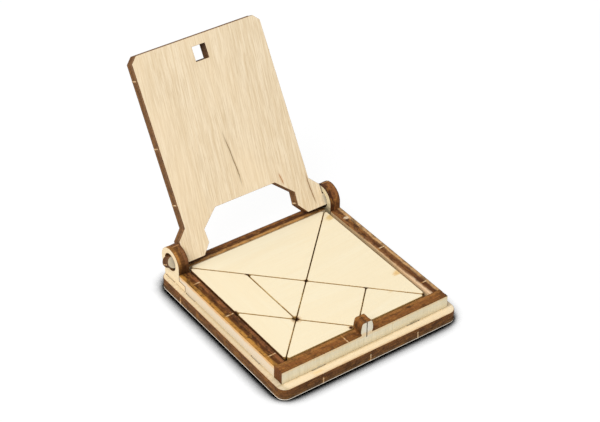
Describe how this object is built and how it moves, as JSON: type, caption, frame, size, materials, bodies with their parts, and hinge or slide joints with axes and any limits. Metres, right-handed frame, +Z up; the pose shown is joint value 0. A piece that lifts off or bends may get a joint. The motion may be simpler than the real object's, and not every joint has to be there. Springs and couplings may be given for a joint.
{
  "type": "tangram puzzle",
  "caption": "Pocket tangram puzzle of loose plywood shapes in a flat square box, with a lid that turns on tongues in round ears and snaps over a split latch post.",
  "frame": {"origin": "middle of the square tray, on the underside of the base plate", "axes": "+Z up out of the tray, +X to the right along the hinge seen from the latch side, +Y from the latch to the hinge"},
  "size_m": [0.051, 0.0757, 0.051],
  "materials": {
    "base_plywood": "bare birch plywood, sanded face, laser-browned edges",
    "wall_plywood": "bare birch plywood, sanded face, laser-browned edges",
    "lid_plywood": "bare birch plywood, fine straight grain, laser-browned edges",
    "piece_plywood": "bare birch plywood, sanded face, laser-browned edges"
  },
  "bodies": {
    "tray": {"base_plate": "base_plywood", "front_wall": "wall_plywood", "rear_wall": "wall_plywood", "left_wall": "wall_plywood", "right_wall": "wall_plywood", "left_ear": "wall_plywood", "right_ear": "wall_plywood"},
    "lid": {"lid": "lid_plywood"},
    "large_triangle_rear": {"large_triangle_rear": "piece_plywood"},
    "large_triangle_right": {"large_triangle_right": "piece_plywood"},
    "parallelogram": {"parallelogram": "piece_plywood"},
    "square": {"square": "piece_plywood"},
    "small_triangle_inner": {"small_triangle_inner": "piece_plywood"},
    "small_triangle_left": {"small_triangle_left": "piece_plywood"},
    "small_triangle_front": {"small_triangle_front": "piece_plywood"},
    "small_triangle_right": {"small_triangle_right": "piece_plywood"}
  },
  "joints": [
    {"name": "lid_hinge", "type": "hinge", "parent": "tray", "child": "lid", "pos_m": [0, 0.0226, 0.0079], "axis": [-1, 0, 0], "range_deg": [-121, 0]},
    {"name": "large_triangle_rear_lift", "type": "slide", "parent": "tray", "child": "large_triangle_rear", "axis": [0, 0, 1], "range_m": [0, 0.02]},
    {"name": "large_triangle_right_lift", "type": "slide", "parent": "tray", "child": "large_triangle_right", "axis": [0, 0, 1], "range_m": [0, 0.02]},
    {"name": "parallelogram_lift", "type": "slide", "parent": "tray", "child": "parallelogram", "axis": [0, 0, 1], "range_m": [0, 0.02]},
    {"name": "square_lift", "type": "slide", "parent": "tray", "child": "square", "axis": [0, 0, 1], "range_m": [0, 0.02]},
    {"name": "small_triangle_inner_lift", "type": "slide", "parent": "tray", "child": "small_triangle_inner", "axis": [0, 0, 1], "range_m": [0, 0.02]},
    {"name": "small_triangle_left_lift", "type": "slide", "parent": "tray", "child": "small_triangle_left", "axis": [0, 0, 1], "range_m": [0, 0.02]},
    {"name": "small_triangle_front_lift", "type": "slide", "parent": "tray", "child": "small_triangle_front", "axis": [0, 0, 1], "range_m": [0, 0.02]},
    {"name": "small_triangle_right_lift", "type": "slide", "parent": "tray", "child": "small_triangle_right", "axis": [0, 0, 1], "range_m": [0, 0.02]}
  ]
}
